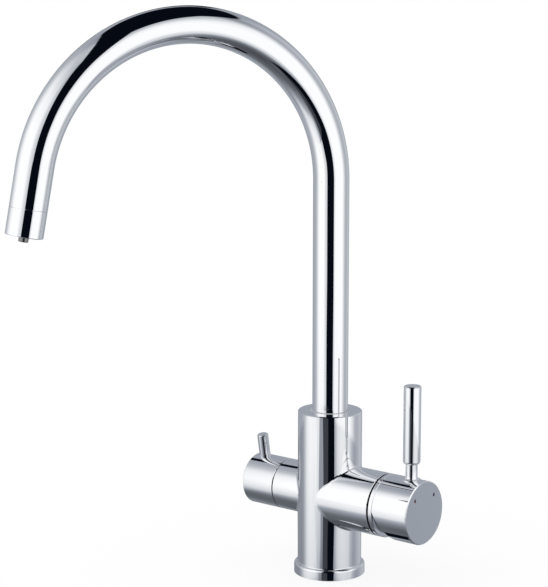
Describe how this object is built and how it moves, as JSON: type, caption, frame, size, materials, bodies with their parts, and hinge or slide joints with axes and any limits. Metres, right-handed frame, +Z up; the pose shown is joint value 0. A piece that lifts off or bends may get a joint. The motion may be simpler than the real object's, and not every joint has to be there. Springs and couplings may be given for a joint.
{
  "type": "three way filtered kitchen tap",
  "caption": "Deck-mounted kitchen tap with a swivelling swan-neck spout, a side lever for mixed water and a small side knob for filtered water from its own nozzle.",
  "frame": {"origin": "centre of the foot of the body, on the deck surface that the tap stands on", "axes": "+Z up; the user stands at -Y; +X along the mixer branch towards the lever cap; the spout is stored as pictured, turned 24.4 degrees from -Y towards -X"},
  "size_m": [0.1857, 0.2398, 0.3995],
  "materials": {
    "chrome_plate": "mirror polished",
    "bare_brass": "machined",
    "steel": "machined",
    "seal_rubber": "matt",
    "white_plastic": "moulded",
    "grey_plastic": "moulded",
    "ceramic": "lapped",
    "hot_red": "enamel",
    "cold_blue": "enamel"
  },
  "bodies": {
    "tap_body": {"body_casting": "chrome_plate", "base_ring": "chrome_plate", "base_seal": "seal_rubber", "wear_ring": "grey_plastic", "spout_grub_screw": "steel", "pure_water_barb": "bare_brass", "cartridge_base": "white_plastic", "port_seals": "seal_rubber", "fixed_disc": "ceramic", "cartridge_case": "white_plastic", "cartridge_nut": "bare_brass", "cover_ring": "chrome_plate", "headwork": "bare_brass", "headwork_seal": "seal_rubber", "valve_fixed_disc": "ceramic"},
    "spout": {"spout_tube": "chrome_plate", "swivel_ferrule": "bare_brass", "swivel_seals": "seal_rubber", "pure_water_pipe": "white_plastic", "outlet_collar": "chrome_plate", "aerator_insert": "grey_plastic", "pure_water_nozzle": "bare_brass"},
    "mixer_turret": {"spindle_carrier": "white_plastic", "pivot_pin": "steel"},
    "mixing_disc": {"moving_disc": "ceramic", "disc_driver": "white_plastic"},
    "lever": {"lever_spindle": "steel", "lever_cap": "chrome_plate", "lever_neck": "chrome_plate", "lever_grip": "chrome_plate", "cap_grub_screw": "steel", "grub_plug": "grey_plastic", "hot_mark": "hot_red", "cold_mark": "cold_blue"},
    "filter_valve": {"valve_moving_disc": "ceramic", "valve_stem": "bare_brass", "filter_knob": "chrome_plate", "filter_pin": "chrome_plate", "knob_grub_screw": "steel"}
  },
  "joints": [
    {"name": "spout_swivel", "type": "hinge", "parent": "tap_body", "child": "spout", "pos_m": [0, 0, 0.1], "axis": [0, 0, 1], "range_deg": [-155.6, 204.4]},
    {"name": "mixer_temperature", "type": "hinge", "parent": "tap_body", "child": "mixer_turret", "pos_m": [0.0505, 0, 0.0571], "axis": [1, 0, 0], "range_deg": [-45, 45]},
    {"name": "mixer_flow", "type": "hinge", "parent": "mixer_turret", "child": "lever", "pos_m": [0.0505, 0, 0.0571], "axis": [0, 1, 0], "range_deg": [0, 24]},
    {"name": "mixing_disc_slide", "type": "slide", "parent": "mixer_turret", "child": "mixing_disc", "axis": [0, 0, 1], "range_m": [0, 0.0048]},
    {"name": "filter_turn", "type": "hinge", "parent": "tap_body", "child": "filter_valve", "pos_m": [-0.054, 0, 0.0571], "axis": [1, 0, 0], "range_deg": [-10, 80]}
  ],
  "couplings": [
    {"joint": "mixing_disc_slide", "follows": "mixer_flow", "m_per_rad": 0.011}
  ]
}
